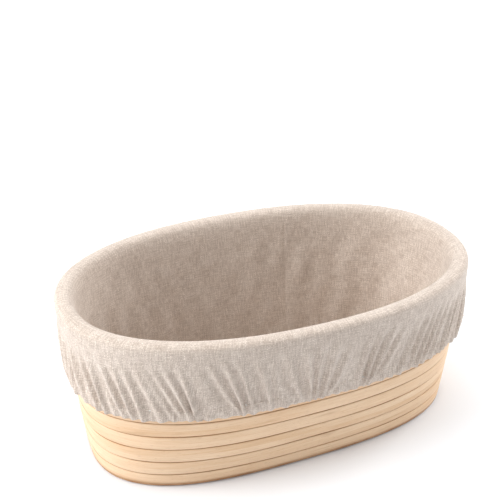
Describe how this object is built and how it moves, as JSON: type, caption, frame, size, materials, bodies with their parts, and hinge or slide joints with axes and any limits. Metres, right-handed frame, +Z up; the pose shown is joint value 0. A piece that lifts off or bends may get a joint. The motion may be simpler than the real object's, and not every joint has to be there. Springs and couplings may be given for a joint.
{
  "type": "banneton basket",
  "caption": "Oval bread-proofing basket of spirally wound cane with a stapled rim and a removable linen liner whose elastic hem grips the wall.",
  "frame": {"origin": "middle of the underside, on the table", "axes": "+X along the long axis, +Y across towards the side where the wall's cane starts, +Z up"},
  "size_m": [0.26, 0.1596, 0.104],
  "materials": {
    "base_cane": "smooth, dry, fine lengthwise grain",
    "wall_cane": "smooth, dry, fine lengthwise grain",
    "rim_cane": "smooth, slightly polished",
    "steel_wire": "dull",
    "linen": "plain weave, matt",
    "elastic": "matt",
    "thread": "matt"
  },
  "bodies": {
    "basket": {"base_cane_1": "base_cane", "base_cane_2": "base_cane", "base_cane_3": "base_cane", "base_cane_4": "base_cane", "base_cane_5": "base_cane", "base_cane_6": "base_cane", "base_cane_7": "base_cane", "base_cane_8": "base_cane", "base_cane_9": "base_cane", "base_cane_10": "base_cane", "base_staples": "steel_wire", "wall_cane": "wall_cane", "course_nails": "steel_wire", "rim_cane": "rim_cane", "rim_staples": "steel_wire"},
    "liner": {"liner_base_panel": "linen", "liner_base_seam": "linen", "liner_side_panel": "linen", "liner_side_seam": "linen", "liner_hem_casing": "linen", "liner_elastic": "elastic", "liner_hem_stitching": "thread"}
  },
  "joints": [
    {"name": "liner_lift", "type": "slide", "parent": "basket", "child": "liner", "axis": [0, 0, 1], "range_m": [0, 0.12], "deforming": ["liner_side_panel", "liner_side_seam", "liner_hem_casing", "liner_elastic", "liner_hem_stitching"]}
  ]
}
